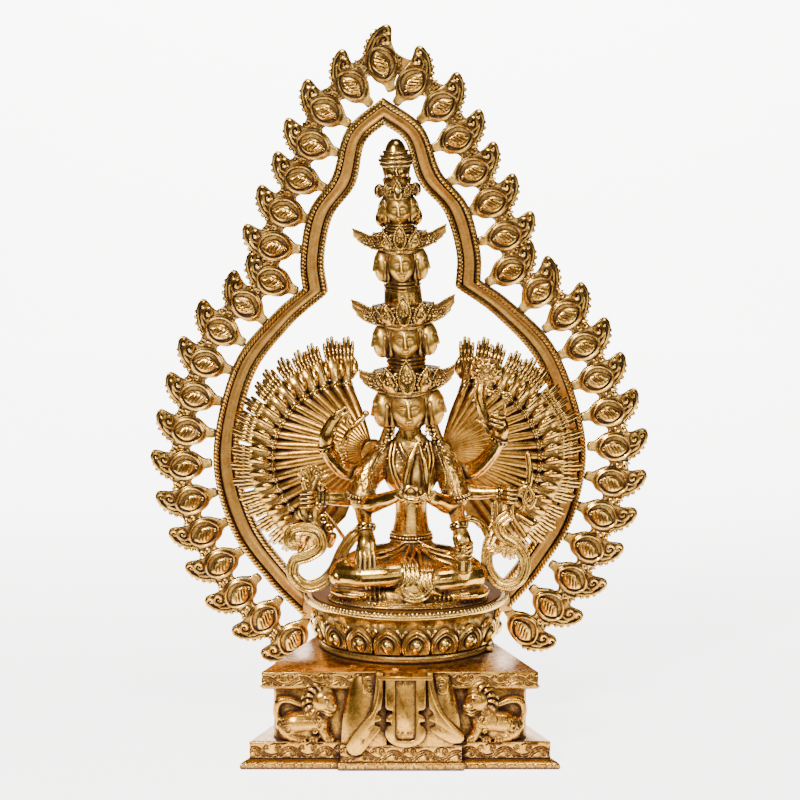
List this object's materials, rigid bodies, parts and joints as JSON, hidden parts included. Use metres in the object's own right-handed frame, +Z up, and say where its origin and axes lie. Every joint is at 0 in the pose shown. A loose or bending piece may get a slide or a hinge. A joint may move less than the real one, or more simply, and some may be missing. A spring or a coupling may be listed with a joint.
{
  "type": "avalokiteshvara statue",
  "caption": "Cast brass many-armed deity seated on a lotus seat and lion throne, with a tower of heads, fans of open hands and a pointed aureole edged with flame leaves.",
  "frame": {"origin": "middle of the whole object's box, on the surface that the throne stands on", "axes": "+Z up; the figure faces -Y; +X is the viewer's right"},
  "size_m": [0.247, 0.108, 0.3442],
  "materials": {
    "figure_brass": "cast and polished on the raised forms, dark brown patina in the recesses",
    "aureole_brass": "satin channel between twisted ropes, dark patina round the flame leaves",
    "throne_brass": "filed and chased, satin, with dark lines in the chasing"
  },
  "bodies": {
    "root": {"throne": "throne_brass", "lotus_seat": "figure_brass", "figure": "figure_brass", "arm_fan_left": "figure_brass", "arm_fan_right": "figure_brass", "aureole": "aureole_brass"}
  },
  "joints": []
}
